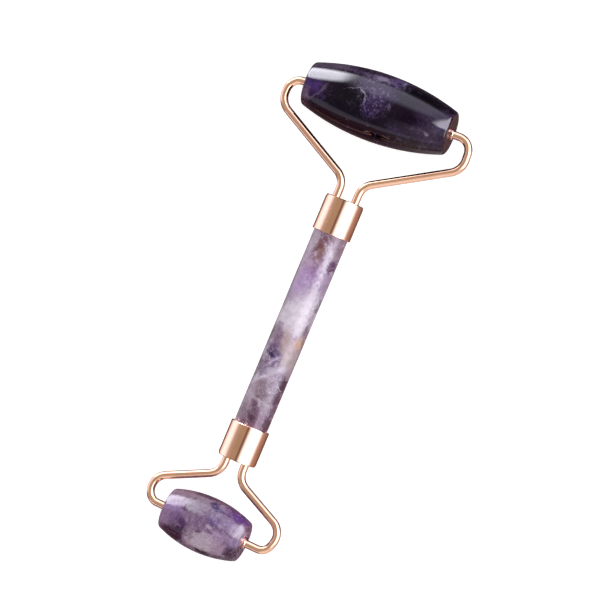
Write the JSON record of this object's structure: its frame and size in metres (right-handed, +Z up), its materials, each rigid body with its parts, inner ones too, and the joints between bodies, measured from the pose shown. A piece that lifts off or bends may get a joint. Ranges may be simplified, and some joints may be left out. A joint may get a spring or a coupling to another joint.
{
  "type": "face roller",
  "caption": "Handheld massage tool: a slim polished stone handle with a metal ferrule and a bent wire yoke at each end, holding a large barrel-shaped stone roller and a small one.",
  "frame": {"origin": "middle of the handle, on its axis", "axes": "+Y along the handle towards the large roller; +X along the roller axles; +Z up, square to the plane of the wire yokes, when the tool lies on its two rollers"},
  "size_m": [0.0576, 0.1447, 0.0196],
  "materials": {
    "handle_stone": "polished lavender and white banded amethyst",
    "large_roller_stone": "polished very dark purple amethyst with violet veins",
    "small_roller_stone": "polished mottled violet and grey-lavender amethyst",
    "ferrule_metal": "mirror-polished rose gold plate",
    "wire_metal": "polished rose gold plate on steel wire",
    "bush_metal": "polished pale rose gold plate",
    "solder": "dull silver solder",
    "epoxy": "cured clear epoxy, slightly yellow"
  },
  "bodies": {
    "frame": {"handle_rod": "handle_stone", "large_ferrule": "ferrule_metal", "small_ferrule": "ferrule_metal", "large_arm_left": "wire_metal", "large_arm_right": "wire_metal", "small_arm_left": "wire_metal", "small_arm_right": "wire_metal", "large_solder": "solder", "small_solder": "solder", "large_handle_glue": "epoxy", "small_handle_glue": "epoxy"},
    "large_roller": {"large_stone": "large_roller_stone", "large_bush_left": "bush_metal", "large_bush_right": "bush_metal", "large_bush_glue": "epoxy"},
    "small_roller": {"small_stone": "small_roller_stone", "small_bush_left": "bush_metal", "small_bush_right": "bush_metal", "small_bush_glue": "epoxy"}
  },
  "joints": [
    {"name": "large_roller_spin", "type": "hinge", "parent": "frame", "child": "large_roller", "pos_m": [-0.00117, 0.06707, 0], "axis": [0.999, 0.0436, 0], "continuous": true},
    {"name": "small_roller_spin", "type": "hinge", "parent": "frame", "child": "small_roller", "pos_m": [-0.00106, -0.05969, 0], "axis": [0.9998, -0.0175, 0], "continuous": true}
  ]
}
